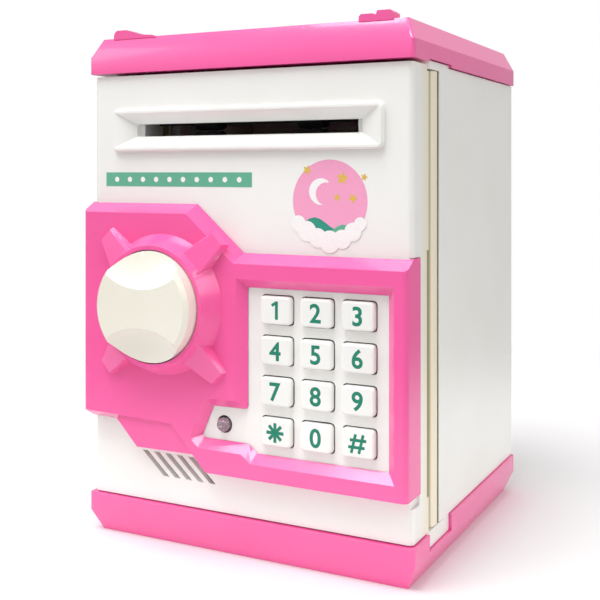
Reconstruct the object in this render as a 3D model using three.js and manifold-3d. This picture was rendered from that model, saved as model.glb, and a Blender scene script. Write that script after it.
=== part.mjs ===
// Toy safe coin bank with a keypad, a lock knob and a motor-driven note slot.
// Millimetres, +Z up, front towards -Y. The origin is the centre of the face the base rests on.
import * as THREE from 'three';
import { ConvexGeometry } from 'three/addons/geometries/ConvexGeometry.js';
import { mergeVertices } from 'three/addons/utils/BufferGeometryUtils.js';
import Module from 'manifold-3d';

const wasm = await Module();
wasm.setup();

// ---------------------------------------------------------------- driving dimensions
const GAP = 0.3;               // between pieces that touch
const RUN = 0.15;              // radial running clearance of a shaft in its hole

const WIDTH = 135;
const DEPTH = 118;
const HEIGHT = 190;
const CORNER = 1.2;            // vertical corners of cover and base
const SIDE_IN = 1.1;           // white walls stand in from the edges of cover and base: at the sides,
const FRONT_IN = 1.5;          // at the front
const BACK_IN = 0.5;           // and at the back
const WALL = 2.5;

const COVER_H = 13.8;
const COVER_BAND = 6.4;        // upright band below the cover's chamfer
const BASE_H = 14.8;
const BASE_BAND = 6.9;         // upright band above the base's chamfer
const EDGE_INSET = 3.5;        // how far both chamfers draw in

const COIN_SLOT_LENGTH = 34;
const COIN_SLOT_WIDTH = 5;
const COIN_SLOT_Y = 10;
const LUG_H = 3;               // corner lugs on the cover
const LUG_IN = 15.1;            // lug centres inboard of the cover's sides

const DOOR_RETURN = 12.9;      // depth of the door shell's side walls
const DOOR_CORNER = 2.5;
const DOOR_REBATE = 1.2;       // depth of the rebate that the front panel's sides lie in
const RETURN_RIB = 1.7;        // rib behind the door's right side wall, above and below the panel
const DOOR_TOP_GAP = 1;
const DOOR_BOTTOM_GAP = 0.4;
const BARREL_R = 6.5;
const BARREL_GROOVE = 2.4;     // between the door's side wall and its hinge barrel
const KNUCKLE_R = 8.6;
const KNUCKLE_TAIL = 3;         // how far a knuckle runs back past the lip
const TOP_KNUCKLE_H = 1.9;
const KNUCKLE_RISE = 1;         // the top knuckle stands up into a notch of the cover
const BOTTOM_KNUCKLE_H = 5.6;
const PIN_R = 2;
const PIN_IN_BARREL = 14;

const LIP_LEFT = 4.5;          // the lip that the latch bolt catches behind
const LIP_RIGHT = 12;

const SLOT_W = 94.6;           // note slot
const SLOT_H = 4.6;
const SLOT_DROP = 21.9;        // slot centre below the cover
const BEZEL_W = 112.8;
const BEZEL_H = 16.2;
const BEZEL_PROUD = 2;
const BEZEL_RIM = 1.7;

const PANEL_PROUD = 6;         // pink panel in front of the door face
const PANEL_EDGE = 3.6;        // its bevelled edges
const PANEL_CORNER = 2;
const PANEL_SKIN = 2.2;
const PANEL_WRAP = 6;          // how far its sides run back round the door
const PANEL_SIDE_PROUD = 0.4;  // how far they stand out from the door's sides
const TAB_DROP = 1.2;          // the speaker tab's face behind the panel's face

const KNOB_X = -30;
const KNOB_Z = 90;
const KNOB_R = 20.2;
const KNOB_CLEARANCE = 0.4;
const KNOB_FRONT = 13.5;       // grip bar in front of the panel face
const SCOOP_DEPTH = 6.2;        // of the hollows above and below the grip bar
const RING_H = 7.5;
const RING_RIM = 1.5;
const RING_FLARE = 3.8;
const SHAFT_R = 5;

const CAM_R = 11;
const CAM_T = 4.8;
const CRANK_R = 4;             // crank pin circle
const CRANK_PIN_R = 1.4;
const BOLT_T = 4;
const BOLT_H = 12;
const PLUNGER_R = 2.4;
const PLUNGER_TRAVEL = 3;

const KEY_W = 12.2;
const KEY_H = 9.8;
const KEY_PITCH_X = 15.75;
const KEY_PITCH_Z = 14.15;
const KEY_CLEARANCE = 0.35;     // all round a key in the plate
const KEYPAD_X = 32.6;
const KEYPAD_Z = 69.2;
const KEY_PROUD = 2.2;
const KEY_TRAVEL = 1.5;
const PLATE_SINK = 3.5;        // keypad plate behind the panel face
const PLATE_T = 1.7;
const FUNNEL_W = 3.2;          // sloped wall round the keypad window
const WINDOW_LEFT = 5.9;        // from the keys to the window's edges
const WINDOW_RIGHT = 4.6;
const WINDOW_TOP = 2.4;
const WINDOW_BOTTOM = 3.7;
const WINDOW_CORNER = 3;        // its cut-off corner at the lower left
const LED_X = -5.2;
const LED_Z = 48.1;
const LED_R = 2.5;

const CELL_R = 7.25;
const CELL_LENGTH = 50.5;
const CELL_PITCH = 15.2;
const CELLS_X = 19.7;
const CELLS_Z = 65.6;

const DRIVE_ROLLER_R = 6;
const IDLER_ROLLER_R = 4;
const ROLLER_W = 10;
const ROLLER_X = 22;
const AXLE_R = 2;
const GEAR_MODULE = 0.7;
const GEAR_TEETH = 26;
const PINION_TEETH = 10;

const SPEAKER_R = 13.5;
const SPEAKER_X = -28.5;
const SPEAKER_Z = 32.5;
const SCREW_R = 1;
const SCREW_HEAD_R = 2.1;
const SCREW_HEAD_H = 1.6;
const SCREW_SEAT = 4.3;        // the base screws' seat above the rest face

// ---------------------------------------------------------------- sizes worked out from them
const LUG_X = WIDTH / 2 - LUG_IN;
const X_WALL = WIDTH / 2 - SIDE_IN;
const Y_BACK = DEPTH / 2 - BACK_IN;
const Y_FACE = -DEPTH / 2 + FRONT_IN;
const Z_COVER = HEIGHT - COVER_H;
const SLOT_Z = Z_COVER - SLOT_DROP;
const SHELL_Z0 = BASE_H + GAP;
const SHELL_Z1 = Z_COVER - GAP;
const DOOR_Z0 = BASE_H + DOOR_BOTTOM_GAP;
const DOOR_Z1 = Z_COVER - DOOR_TOP_GAP;
const Y_PLATE = Y_FACE + WALL;                 // back of the door's front plate
const Y_RETURN = Y_FACE + DOOR_RETURN;         // back end of the door's side walls
const HINGE_X = X_WALL - BARREL_R;
const HINGE_Y = Y_RETURN + BARREL_GROOVE + BARREL_R;
const BARREL_Z0 = BASE_H + 0.4;
const BARREL_Z1 = SHELL_Z1 - TOP_KNUCKLE_H - GAP;
const Y_BODY = Y_RETURN + GAP;                 // front edge of the left wall
const Y_SIDE = HINGE_Y + BARREL_R + 0.8;       // front of the right wall,
const Y_SIDE_LIP = HINGE_Y + BARREL_R * 0.48;  // whose thin lip reaches forward round the barrel
const WEB_X0 = HINGE_X - WALL;
const WEB_X1 = HINGE_X + 0.5;
const Y_PANEL = Y_FACE - PANEL_PROUD;
const Y_KEYPLATE = Y_PANEL + PLATE_SINK;
const KNOB_BORE_R = KNOB_R + KNOB_CLEARANCE;
const RING_R_FRONT = KNOB_BORE_R + RING_RIM;
const RING_R_BACK = RING_R_FRONT + RING_FLARE;
const KEYS_X = KEY_PITCH_X + KEY_W / 2;        // half sizes of the whole group of keys
const KEYS_Z = 1.5 * KEY_PITCH_Z + KEY_H / 2;
const KEY_GAP = Math.min(KEY_PITCH_X - KEY_W, KEY_PITCH_Z - KEY_H);
const KEY_FLANGE = KEY_CLEARANCE + 0.386 * (KEY_GAP / 2 - KEY_CLEARANCE);

const BACK_X0 = -X_WALL + WALL + LIP_LEFT + 1.3;   // the door back's raised pan
const BACK_X1 = HINGE_X - KNUCKLE_R - 0.5;
const BACK_Z0 = DOOR_Z0 + 8.4;
const BACK_Z1 = DOOR_Z1 - 9.2;
const BACK_Y = Y_RETURN + 13.6;
const BACK_WALL = 2;
const FLANGE_T = 1.8;

const CAM_Y1 = Y_BODY + WALL - 0.2;            // back face of the cam
const CAM_Y0 = CAM_Y1 - CAM_T;
const BOLT_Y0 = Y_BODY + WALL + 0.4;
const BOLT_TRAVEL = CRANK_R * Math.SQRT2;
const BOLT_TIP = BACK_X0 + 0.4;
const BOLT_Z0 = KNOB_Z - 3.5;

const AXLE_Y = Y_RETURN + 1.1;
const DRIVE_Z = SLOT_Z - 0.2 - DRIVE_ROLLER_R;
const IDLER_Z = SLOT_Z + 0.2 + IDLER_ROLLER_R;
const EAR_T = 2.4;
const EAR_X = SLOT_W / 2 + 0.1;                // outer face of the roller ears
const GEAR_T = 3.6;
const PINION_Z = DRIVE_Z - GEAR_MODULE * (GEAR_TEETH + PINION_TEETH) / 2 - 0.25;
const CELL_Y = BACK_Y - BACK_WALL - 3.2 - CELL_R;

// ---------------------------------------------------------------- shapes
function solid(geometry) {
  const bare = geometry.index ? geometry.toNonIndexed() : geometry.clone();
  bare.deleteAttribute('normal');
  bare.deleteAttribute('uv');
  const welded = mergeVertices(bare, 1e-4);
  const corners = welded.index.array;
  const triangles = [];
  for (let i = 0; i < corners.length; i += 3) {
    const [a, b, c] = [corners[i], corners[i + 1], corners[i + 2]];
    if (a !== b && b !== c && c !== a) triangles.push(a, b, c);
  }
  return new wasm.Manifold(new wasm.Mesh({
    numProp: 3,
    vertProperties: welded.attributes.position.array,
    triVerts: Uint32Array.from(triangles),
  }));
}

function block([x0, x1], [y0, y1], [z0, z1]) {
  const box = new THREE.BoxGeometry(x1 - x0, y1 - y0, z1 - z0);
  box.translate((x0 + x1) / 2, (y0 + y1) / 2, (z0 + z1) / 2);
  return solid(box);
}

// A round bar along an axis from one station to another; a and b are its centre on the other two axes.
function rod(axis, radius, from, to, a, b, segments = 24, radiusTo = radius) {
  const bar = new THREE.CylinderGeometry(radiusTo, radius, to - from, segments);
  bar.translate(0, (from + to) / 2, 0);
  if (axis === 'x') bar.rotateZ(-Math.PI / 2).translate(0, a, b);
  if (axis === 'y') bar.translate(a, 0, b);
  if (axis === 'z') bar.rotateX(Math.PI / 2).translate(a, b, 0);
  return solid(bar);
}

// A closed outline with its corners rounded.
function outline(points, radius = 0) {
  const shape = new THREE.Shape();
  points.forEach(([x, y], i) => {
    const corner = new THREE.Vector2(x, y);
    const before = new THREE.Vector2(...points[(i + points.length - 1) % points.length]);
    const after = new THREE.Vector2(...points[(i + 1) % points.length]);
    const reach = (end) => Math.min(radius, corner.distanceTo(end) * 0.45);
    const enter = corner.clone().lerp(before, reach(before) / corner.distanceTo(before));
    const leave = corner.clone().lerp(after, reach(after) / corner.distanceTo(after));
    if (i === 0) shape.moveTo(enter.x, enter.y);
    else shape.lineTo(enter.x, enter.y);
    if (radius > 0) shape.quadraticCurveTo(corner.x, corner.y, leave.x, leave.y);
  });
  shape.closePath();
  return shape;
}

const rectangle = (x0, x1, y0, y1) => [[x0, y0], [x1, y0], [x1, y1], [x0, y1]];

// A counter-clockwise outline moved outwards by a distance, with its corners kept sharp.
function grown(points, distance) {
  const edges = points.map(([x, y], i) => {
    const [nx, ny] = points[(i + 1) % points.length];
    const length = Math.hypot(nx - x, ny - y);
    const [ux, uy] = [(nx - x) / length, (ny - y) / length];
    return { x: x + uy * distance, y: y - ux * distance, ux, uy };
  });
  return edges.map((edge, i) => {
    const last = edges[(i + edges.length - 1) % edges.length];
    const turn = last.ux * edge.uy - last.uy * edge.ux;
    const along = ((edge.x - last.x) * edge.uy - (edge.y - last.y) * edge.ux) / turn;
    return [last.x + last.ux * along, last.y + last.uy * along];
  });
}

// An outline drawn in X and Z, between two stations along Y.
function slabY(shape, yFront, yBack, curveSegments = 3) {
  const depth = yBack - yFront;
  const slab = new THREE.ExtrudeGeometry(shape, { depth, bevelEnabled: false, curveSegments });
  return solid(slab.rotateX(Math.PI / 2).translate(0, yBack, 0));
}

// The same for any sharp-cornered outline, with its front edge drawn in by an inset over a depth.
function bevelledY(points, yFront, yBack, depth, inset) {
  const slab = new THREE.ExtrudeGeometry(outline(points), {
    depth: yBack - yFront - depth,
    bevelThickness: depth,
    bevelSize: inset,
    bevelOffset: -inset,
    bevelSegments: 1,
  });
  const far = 500;
  return solid(slab.rotateX(Math.PI / 2).translate(0, yBack, 0))
    .subtract(block([-far, far], [yBack, yBack + depth + 1], [-far, far]));
}

// An outline drawn in X and Y, between two stations along Z.
function slabZ(shape, z0, z1, curveSegments = 4) {
  const slab = new THREE.ExtrudeGeometry(shape, { depth: z1 - z0, bevelEnabled: false, curveSegments });
  return solid(slab.translate(0, 0, z0));
}

function hull(points) {
  return solid(new ConvexGeometry(points.map((p) => new THREE.Vector3(...p))));
}

// A convex rounded block along Y or Z whose far edge is drawn in by an inset over a height.
function bevelledBlock(axis, points, radius, from, to, height, inset, steps = 4) {
  const knee = to - Math.sign(to - from) * height;
  const layers = [[points, radius, from], [points, radius, knee], [grown(points, -inset), radius * 0.8, to]];
  return hull(layers.flatMap(([corners, r, station]) => outline(corners, r).getPoints(steps)
    .map((p) => (axis === 'y' ? [p.x, station, p.y] : [p.x, p.y, station]))));
}

// A solid of revolution; the profile is radius against station, starting and ending on the axis.
function turned(profile, segments = 24) {
  return new THREE.LatheGeometry(profile.map((p) => new THREE.Vector2(...p)), segments);
}

const union = (...solids) => solids.reduce((whole, next) => whole.add(next));
const cut = (whole, ...tools) => tools.reduce((rest, tool) => rest.subtract(tool), whole);

// ---------------------------------------------------------------- finishes and placing
const finish = (color, roughness, metalness = 0) =>
  new THREE.MeshStandardMaterial({ color, roughness, metalness });
const pinkAbs = () => finish('#fb6cae', 0.3);
const whiteAbs = () => finish('#ececea', 0.35);
const ivoryAbs = () => finish('#f3f0e4', 0.3);
const steel = () => finish('#b8babd', 0.35, 0.9);
const rubber = () => finish('#3a3b3d', 0.85);
const acetal = () => finish('#e8e6da', 0.45);

const bank = new THREE.Group();

function add(name, shape, material, [x, y, z] = [0, 0, 0]) {
  let geometry = shape;
  if (shape instanceof wasm.Manifold) {
    const { vertProperties, triVerts } = shape.getMesh();
    geometry = new THREE.BufferGeometry();
    geometry.setAttribute('position', new THREE.BufferAttribute(vertProperties, 3));
    geometry.setIndex(new THREE.BufferAttribute(triVerts, 1));
  }
  const mesh = new THREE.Mesh(geometry, material);
  mesh.name = name;
  mesh.position.set(x, y, z);
  bank.add(mesh);
  return mesh;
}

// A self-tapping screw along +Z: the underside of its head at the origin.
const screwProfile = (length) => [
  [0, -SCREW_HEAD_H], [SCREW_HEAD_R, -SCREW_HEAD_H], [SCREW_HEAD_R, 0], [SCREW_R, 0],
  [SCREW_R, length], [0, length],
];

// ---------------------------------------------------------------- where the screws go
const PILLAR = 10;
const pillarX = X_WALL - WALL - PILLAR / 2 + 0.5;
const pillarBackY = Y_BACK - WALL - PILLAR / 2 + 0.5;
const pillars = [
  [-pillarX, Y_BODY + WALL + PILLAR / 2 - 0.5],
  [pillarX, Y_SIDE + WALL + KNUCKLE_TAIL + PILLAR / 2 - 0.5],
  [pillarX, pillarBackY],
  [-pillarX, pillarBackY],
];
const PILLAR_TOP_H = 2.5;
const PILLAR_BOTTOM_H = 8;
const doorScrews = [-45, 40].flatMap((x) => [DOOR_Z0 + 5.4, DOOR_Z1 - 5.8].map((z) => [x, z]));

// ---------------------------------------------------------------- case: shell, cover and base
function bodyShell() {
  const up = [SHELL_Z0, SHELL_Z1];
  const walls = union(
    block([-X_WALL, -X_WALL + WALL], [Y_BODY, Y_BACK], up),
    block([X_WALL - WALL, X_WALL], [Y_SIDE, Y_BACK], up),
    block([-X_WALL, X_WALL], [Y_BACK - WALL, Y_BACK], up),
    block([-X_WALL, -X_WALL + WALL + LIP_LEFT], [Y_BODY, Y_BODY + WALL], up),
    block([X_WALL - WALL - LIP_RIGHT, X_WALL], [Y_SIDE, Y_SIDE + WALL], up),
  );
  const lip = cut(block([X_WALL - WALL, X_WALL], [Y_SIDE_LIP, Y_SIDE + 0.5], up),
    rod('z', BARREL_R + 1.5 * GAP, 0, HEIGHT, HINGE_X, HINGE_Y, 32));
  const knuckle = (z0, z1, zWall) => union(
    rod('z', KNUCKLE_R, z0, z1, HINGE_X, HINGE_Y, 32),
    block([HINGE_X - KNUCKLE_R + 1, X_WALL], [HINGE_Y, Y_SIDE + WALL + KNUCKLE_TAIL], [z0, z1]),
    block([X_WALL - 6, X_WALL], [Y_SIDE, Y_SIDE + WALL + KNUCKLE_TAIL], zWall),
  ).intersect(block([HINGE_X - 20, X_WALL], [HINGE_Y - 20, HINGE_Y + 40], [z0 - 20, z1 + 20]));
  const [topZ0, topZ1] = [SHELL_Z1 - TOP_KNUCKLE_H, SHELL_Z1 + KNUCKLE_RISE];
  const top = knuckle(topZ0, topZ1, [topZ0, topZ1]);
  const low = BARREL_Z0 - GAP;
  const bottom = knuckle(low - BOTTOM_KNUCKLE_H, low, [low - BOTTOM_KNUCKLE_H, SHELL_Z0 + 5]);
  const half = PILLAR / 2;
  const blocks = pillars.flatMap(([x, y]) => [
    block([x - half, x + half], [y - half, y + half], [SHELL_Z0, SHELL_Z0 + PILLAR_BOTTOM_H]),
    block([x - half, x + half], [y - half, y + half], [SHELL_Z1 - PILLAR_TOP_H, SHELL_Z1]),
  ]);
  const holes = pillars.map(([x, y]) => rod('z', SCREW_R + GAP, -1, HEIGHT, x, y, 12));
  const pinHole = rod('z', PIN_R + RUN, -1, HEIGHT, HINGE_X, HINGE_Y);
  return cut(union(walls, lip, top, bottom, ...blocks), pinHole, ...holes);
}

// Room for a hinge knuckle in the cover's or the base's rim.
function knuckleNotch(z0, z1) {
  return block([HINGE_X - KNUCKLE_R - GAP, WIDTH],
    [HINGE_Y - KNUCKLE_R - GAP, Y_SIDE + WALL + KNUCKLE_TAIL + GAP], [z0, z1]);
}

function topCover() {
  const plan = rectangle(-WIDTH / 2, WIDTH / 2, -DEPTH / 2, DEPTH / 2);
  const chamfer = COVER_H - COVER_BAND;
  const outer = bevelledBlock('z', plan, CORNER, Z_COVER, HEIGHT, chamfer, EDGE_INSET);
  const inside = bevelledBlock('z', grown(plan, -WALL), CORNER - 1, Z_COVER - 1, HEIGHT - WALL,
    chamfer, EDGE_INSET);
  const frontDeck = block([-WIDTH / 2 + 1, WIDTH / 2 - 1], [-DEPTH / 2 + 1, Y_BODY],
    [Z_COVER, Z_COVER + WALL]);
  const bosses = pillars.map(([x, y]) => rod('z', 4, Z_COVER, HEIGHT - 1, x, y, 16));
  const holes = pillars.map(([x, y]) => rod('z', SCREW_R + GAP, Z_COVER - 1, HEIGHT - WALL - 1.5, x, y, 12));
  const slot = slabZ(outline(rectangle(-COIN_SLOT_LENGTH / 2, COIN_SLOT_LENGTH / 2,
    COIN_SLOT_Y - COIN_SLOT_WIDTH / 2, COIN_SLOT_Y + COIN_SLOT_WIDTH / 2), 1.2), Z_COVER, HEIGHT + 1);
  const lugY = [-DEPTH / 2 + EDGE_INSET - 0.5, -DEPTH / 2 + EDGE_INSET + 5.5];
  const foot = HEIGHT - 0.5;
  const [low, high] = [HEIGHT + LUG_H * 0.7, HEIGHT + LUG_H];
  const rightLug = slabY(outline([
    [LUG_X - 6.4, foot], [LUG_X + 6.3, foot], [LUG_X + 6.3, low], [LUG_X + 5.2, high], [LUG_X + 0.4, high],
    [LUG_X, low - 0.4], [LUG_X - 0.8, low - 0.4], [LUG_X - 1.2, low], [LUG_X - 5.6, low],
    [LUG_X - 6.4, low - 0.8],
  ]), ...lugY);
  const leftLug = slabY(outline([
    [-LUG_X - 6, foot], [-LUG_X + 14, foot], [-LUG_X + 12, HEIGHT + 0.5], [-LUG_X + 7, HEIGHT + 0.9],
    [-LUG_X, high], [-LUG_X - 4.6, high], [-LUG_X - 5.6, low], [-LUG_X - 6, HEIGHT + 1],
  ]), ...lugY);
  const notch = knuckleNotch(Z_COVER - 1, SHELL_Z1 + KNUCKLE_RISE + GAP);
  return cut(union(cut(outer, inside), frontDeck.intersect(outer), ...bosses.map((b) => b.intersect(outer)),
    rightLug, leftLug), slot, notch, ...holes);
}

function baseTray() {
  const plan = rectangle(-WIDTH / 2, WIDTH / 2, -DEPTH / 2, DEPTH / 2);
  const chamfer = BASE_H - BASE_BAND;
  const outer = bevelledBlock('z', plan, CORNER, BASE_H, 0, chamfer, EDGE_INSET);
  const inside = bevelledBlock('z', grown(plan, -WALL), CORNER - 1, BASE_H + 1, WALL, chamfer, EDGE_INSET);
  const frontDeck = block([-WIDTH / 2 + 1, WIDTH / 2 - 1], [-DEPTH / 2 + 1, Y_BODY], [BASE_H - WALL, BASE_H]);
  const bosses = pillars.map(([x, y]) => rod('z', 4.4, 1, BASE_H, x, y, 16));
  const headRoom = pillars.map(([x, y]) => rod('z', SCREW_HEAD_R + 0.4, -1, SCREW_SEAT, x, y, 16));
  const holes = pillars.map(([x, y]) => rod('z', SCREW_R + GAP, -1, BASE_H + 1, x, y, 12));
  const notch = knuckleNotch(BARREL_Z0 - GAP - BOTTOM_KNUCKLE_H - GAP, BASE_H + 1);
  return cut(union(cut(outer, inside), frontDeck, ...bosses), notch, ...headRoom, ...holes);
}

add('body_shell', bodyShell(), whiteAbs());
add('top_cover', topCover(), pinkAbs());
add('base_tray', baseTray(), pinkAbs());

const topPin = rod('z', PIN_R, BARREL_Z1 - PIN_IN_BARREL, SHELL_Z1 + KNUCKLE_RISE - GAP, 0, 0);
const bottomPin = rod('z', PIN_R, BARREL_Z0 - GAP - BOTTOM_KNUCKLE_H + GAP, BARREL_Z0 + PIN_IN_BARREL, 0, 0);
add('hinge_pin_top', topPin, steel(), [HINGE_X, HINGE_Y, 0]);
add('hinge_pin_bottom', bottomPin, steel(), [HINGE_X, HINGE_Y, 0]);

const caseScrew = turned(screwProfile(12), 12).rotateX(Math.PI / 2);
pillars.forEach(([x, y], i) => {
  add(`base_screw_${i + 1}`, caseScrew, steel(), [x, y, SCREW_SEAT - GAP]);
  add(`cover_screw_${i + 1}`, caseScrew, steel(), [x, y, SHELL_Z1 - PILLAR_TOP_H - GAP]);
});

// ---------------------------------------------------------------- door
// The keypad window of the panel, at its inner edge: a rectangle with an arm on its left for the LED.
const [windowX0, windowX1] = [KEYPAD_X - KEYS_X - WINDOW_LEFT, KEYPAD_X + KEYS_X + WINDOW_RIGHT];
const [windowZ0, windowZ1] = [KEYPAD_Z - KEYS_Z - WINDOW_BOTTOM, KEYPAD_Z + KEYS_Z + WINDOW_TOP];
const windowOutline = [
  [windowX0, windowZ0 + WINDOW_CORNER], [windowX0 + WINDOW_CORNER + 0.9, windowZ0], [windowX1, windowZ0],
  [windowX1, windowZ1], [windowX0, windowZ1], [windowX0, LED_Z + 6.4],
  [LED_X - 4.3, LED_Z + 6.2], [LED_X - 9.1, LED_Z - 4.6], [LED_X - 7.8, LED_Z - 5.6],
];

// The panel's face, drawn past both sides of the door, and the tab beside it over the speaker.
const PANEL_BOTTOM = 30.8;
const PANEL_TOP = 106.2;
const PANEL_TOP_LEFT = 123.4;
const panelFace = [
  [-WIDTH / 2 - 10, 48.2], [-26.3, 46.8], [-18.9, 39], [-11.2, PANEL_BOTTOM], [WIDTH / 2 + 10, PANEL_BOTTOM],
  [WIDTH / 2 + 10, PANEL_TOP], [0.4, PANEL_TOP], [-19.6, PANEL_TOP_LEFT], [-WIDTH / 2 - 10, PANEL_TOP_LEFT],
];
const panelFoot = grown(panelFace, PANEL_EDGE);
const panelTab = [[-51.7, 45.5], [-42.4, 36], [-16, 36.3], [-10, 40], [-20, 50], [-50, 50]];

// Plan of the door: square at the back, with rounded front corners.
function doorPlan(halfWidth, yFront, yBack, radius) {
  const shape = new THREE.Shape();
  shape.moveTo(-halfWidth, yBack);
  shape.lineTo(-halfWidth, yFront + radius);
  shape.quadraticCurveTo(-halfWidth, yFront, -halfWidth + radius, yFront);
  shape.lineTo(halfWidth - radius, yFront);
  shape.quadraticCurveTo(halfWidth, yFront, halfWidth, yFront + radius);
  shape.lineTo(halfWidth, yBack);
  shape.closePath();
  return shape;
}

function speakerSlots() {
  const slots = [];
  for (let i = 0; i < 5; i += 1) {
    const x = SPEAKER_X - 13.7 + i * 5.15;
    const [top, bottom] = [SPEAKER_Z + 1, SPEAKER_Z - 7.6];
    const lean = 9.7;
    slots.push(slabY(outline([
      [x - 1.3, top], [x + lean - 1.3, bottom], [x + lean + 1.3, bottom], [x + 1.3, top],
    ]), Y_FACE - 1, Y_PLATE + 1));
  }
  return slots;
}

function doorShell() {
  const outer = slabZ(doorPlan(X_WALL, Y_FACE, Y_RETURN, DOOR_CORNER), DOOR_Z0, DOOR_Z1);
  const inside = slabZ(doorPlan(X_WALL - WALL, Y_PLATE, Y_RETURN + 1, DOOR_CORNER - WALL),
    DOOR_Z0 + WALL - 0.3, DOOR_Z1 - WALL + 0.3);
  const barrel = rod('z', BARREL_R, BARREL_Z0, BARREL_Z1, HINGE_X, HINGE_Y, 32);
  const web = block([WEB_X0, WEB_X1], [Y_PLATE - 0.5, HINGE_Y], [DOOR_Z0, BARREL_Z1]);
  const pinHole = rod('z', PIN_R + RUN, 0, HEIGHT, HINGE_X, HINGE_Y);
  const knuckleRoom = rod('z', KNUCKLE_R + 0.4, BARREL_Z1, HEIGHT, HINGE_X, HINGE_Y, 32);

  const bezelY = Y_FACE - BEZEL_PROUD;
  const frame = rectangle(-BEZEL_W / 2, BEZEL_W / 2, SLOT_Z - BEZEL_H / 2, SLOT_Z + BEZEL_H / 2);
  const bezel = bevelledBlock('y', frame, 2.5, Y_FACE + 0.5, bezelY, 1, 0.7);
  const rim = grown(frame, -BEZEL_RIM);
  const slotZ = [SLOT_Z - SLOT_H / 2, SLOT_Z + SLOT_H / 2];
  const funnel = hull([
    ...rim.map(([x, z]) => [x, bezelY - 0.01, z]),
    ...rectangle(-SLOT_W / 2, SLOT_W / 2, ...slotZ).map(([x, z]) => [x, Y_PLATE - 0.8, z]),
  ]);
  const slot = block([-SLOT_W / 2, SLOT_W / 2], [Y_FACE, Y_PLATE + 1], slotZ);

  const ears = [[-EAR_X, -EAR_X + EAR_T], [EAR_X - EAR_T, EAR_X]].map((x) => cut(
    block(x, [Y_PLATE - 0.2, AXLE_Y + 6], [DRIVE_Z - DRIVE_ROLLER_R, IDLER_Z + IDLER_ROLLER_R + 0.6]),
    rod('x', AXLE_R + RUN, -WIDTH, WIDTH, AXLE_Y, DRIVE_Z),
    rod('x', AXLE_R + RUN, -WIDTH, WIDTH, AXLE_Y, IDLER_Z),
  ));
  const motorCradle = block([-EAR_X + 3, -EAR_X + 21], [Y_PLATE - 0.2, AXLE_Y - 5 - GAP],
    [PINION_Z - 5, PINION_Z + 5]);
  const collar = rod('y', SHAFT_R + 3, Y_PLATE - 0.2, CAM_Y0 - 1, KNOB_X, KNOB_Z);
  const shaftHole = rod('y', SHAFT_R + 0.4, Y_FACE - 1, CAM_Y0 + 1, KNOB_X, KNOB_Z);
  const bossEnd = Y_RETURN - FLANGE_T - GAP;
  const bosses = doorScrews.map(([x, z]) => rod('y', 2.8, Y_PLATE - 0.2, bossEnd, x, z, 16));
  const bossHoles = doorScrews.map(([x, z]) => rod('y', SCREW_R + GAP, Y_PLATE + 0.5, Y_RETURN, x, z, 12));

  const [gridW, gridH] = [KEYS_X + 1.5, KEYS_Z + 1.5];
  const keypadHole = block([KEYPAD_X - gridW, KEYPAD_X + gridW], [Y_FACE - 1, Y_PLATE + 0.01],
    [KEYPAD_Z - gridH, KEYPAD_Z + gridH]);
  const ledHole = rod('y', LED_R + 1, Y_FACE - 1, Y_PLATE + 1, LED_X, LED_Z, 16);

  const rebate = cut(
    slabY(outline(grown(panelFoot, GAP)), Y_FACE - 1, Y_FACE + PANEL_WRAP + GAP),
    block([-X_WALL + DOOR_REBATE, X_WALL - DOOR_REBATE], [Y_FACE - 2, Y_RETURN], [0, HEIGHT]),
  );
  const ribs = [[DOOR_Z0, PANEL_BOTTOM - PANEL_EDGE], [PANEL_TOP + PANEL_EDGE + 2, BARREL_Z1 - 0.5]].map((z) =>
    block([X_WALL - WALL, X_WALL], [Y_RETURN - 1, Y_RETURN + RETURN_RIB], z));
  const shell = cut(union(outer, bezel), inside);
  return cut(union(shell, barrel, web, ...ribs, ...ears, motorCradle, collar, ...bosses), funnel, slot, rebate,
    pinHole, knuckleRoom, shaftHole, keypadHole, ledHole, ...bossHoles, ...speakerSlots());
}

function knobLug(angle) {
  const [inner, outer] = [RING_R_BACK - 4, RING_R_BACK + 10.1];
  const foot = Y_PANEL + 1;
  const section = (r, half, y) => [[r, -half, y], [r, half, y]];
  const points = [
    ...section(inner, 6, foot), ...section(outer, 4, foot),
    ...section(inner, 5, Y_PANEL - 5.2), ...section(outer - 1, 2.8, Y_PANEL - 1.8),
  ];
  const [c, s] = [Math.cos(angle), Math.sin(angle)];
  return hull(points.map(([r, t, y]) => [KNOB_X + r * c - t * s, y, KNOB_Z + r * s + t * c]));
}

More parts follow.
